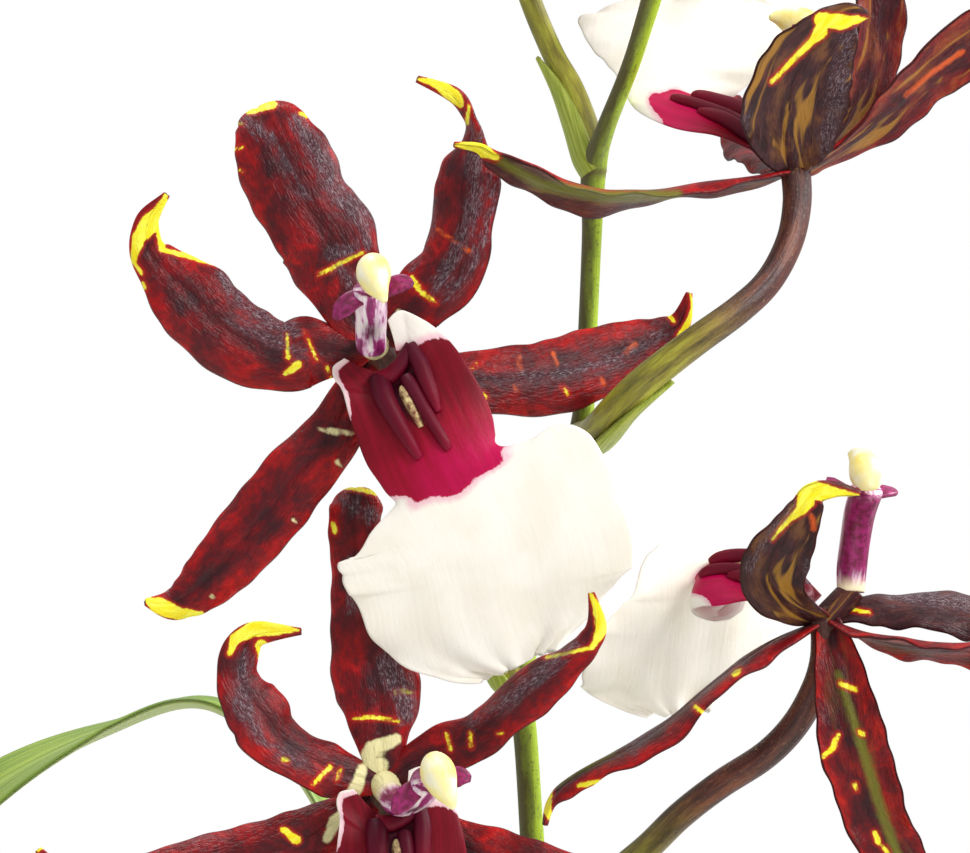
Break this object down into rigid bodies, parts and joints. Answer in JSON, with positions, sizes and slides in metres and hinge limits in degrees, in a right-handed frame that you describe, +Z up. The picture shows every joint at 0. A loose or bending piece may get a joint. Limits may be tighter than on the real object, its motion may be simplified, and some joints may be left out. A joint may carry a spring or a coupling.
{
  "type": "potted orchid",
  "caption": "Potted odontonia orchid in bloom: dark red, yellow-tipped flowers with large ivory lips along an upright spike, over strap leaves in a round terracotta pot.",
  "frame": {"origin": "centre of the pot's underside", "axes": "+Z up, -Y towards the side that the open blooms face, +X to the viewer's right"},
  "size_m": [0.3175, 0.2955, 0.6246],
  "materials": {
    "terracotta": "matte",
    "bark": "matte",
    "leaf": "satin",
    "pseudobulb": "satin",
    "root": "matte",
    "stem": "satin",
    "pedicel": "satin",
    "tepal": "gloss",
    "lip": "satin",
    "column": "satin",
    "anther_cap": "satin",
    "bud": "satin"
  },
  "bodies": {
    "root": {"bloom_1_tepals": "tepal", "bloom_1_lip": "lip", "bloom_1_column": "column", "bloom_1_anther_cap": "anther_cap", "bloom_1_pedicel": "pedicel", "bloom_2_tepals": "tepal", "bloom_2_lip": "lip", "bloom_2_column": "column", "bloom_2_anther_cap": "anther_cap", "bloom_2_pedicel": "pedicel", "bloom_3_tepals": "tepal", "bloom_3_lip": "lip", "bloom_3_column": "column", "bloom_3_anther_cap": "anther_cap", "bloom_3_pedicel": "pedicel", "bloom_4_tepals": "tepal", "bloom_4_lip": "lip", "bloom_4_column": "column", "bloom_4_anther_cap": "anther_cap", "bloom_4_pedicel": "pedicel", "bloom_5_tepals": "tepal", "bloom_5_lip": "lip", "bloom_5_column": "column", "bloom_5_anther_cap": "anther_cap", "bloom_5_pedicel": "pedicel", "bloom_6_tepals": "tepal", "bloom_6_lip": "lip", "bloom_6_column": "column", "bloom_6_anther_cap": "anther_cap", "bloom_6_pedicel": "pedicel", "bud_1": "bud", "bud_2": "bud", "bud_3": "bud", "flower_stem": "stem", "pseudobulb_1": "pseudobulb", "pseudobulb_2": "pseudobulb", "pseudobulb_3": "pseudobulb", "pseudobulb_4": "pseudobulb", "leaf_1": "leaf", "leaf_2": "leaf", "leaf_3": "leaf", "leaf_4": "leaf", "leaf_5": "leaf", "leaf_6": "leaf", "leaf_7": "leaf", "leaf_8": "leaf", "leaf_9": "leaf", "root_1": "root", "root_2": "root", "pot": "terracotta", "growing_medium": "bark"}
  },
  "joints": []
}
